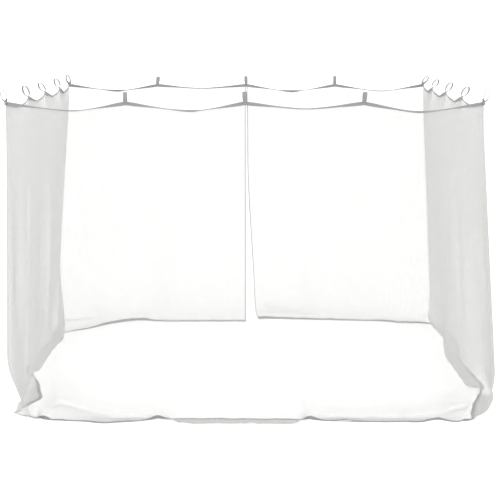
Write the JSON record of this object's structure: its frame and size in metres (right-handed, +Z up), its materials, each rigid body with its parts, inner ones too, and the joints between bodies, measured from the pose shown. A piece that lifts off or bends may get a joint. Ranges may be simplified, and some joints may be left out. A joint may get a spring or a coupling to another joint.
{
  "type": "gazebo mosquito net",
  "caption": "Four-walled band of fine net for a square gazebo: webbing loops on a heading tape, a slit in the back, and a taped hem that lies on the floor.",
  "frame": {"origin": "on the floor, under the middle of the bounding box", "axes": "+Z up, -Y to the front wall, +X to the right as the front is seen from outside"},
  "size_m": [3.3662, 3.2544, 2.114],
  "materials": {
    "net": "fine sheer polyester mosquito mesh, white, see-through face on and dense at a slant",
    "tape": "matte woven polyester tape, mid grey",
    "webbing": "matte woven webbing, mid grey"
  },
  "bodies": {
    "root": {"net": "net", "heading_tape": "tape", "hem_tape": "tape", "slit_binding_left": "tape", "slit_binding_right": "tape", "loop_back_centre": "webbing", "loop_back_left": "webbing", "loop_corner_back_left": "webbing", "loop_left_back": "webbing", "loop_left_centre": "webbing", "loop_left_front": "webbing", "loop_corner_front_left": "webbing", "loop_front_left": "webbing", "loop_front_centre": "webbing", "loop_front_right": "webbing", "loop_corner_front_right": "webbing", "loop_right_front": "webbing", "loop_right_centre": "webbing", "loop_right_back": "webbing", "loop_corner_back_right": "webbing", "loop_back_right": "webbing"}
  },
  "joints": []
}
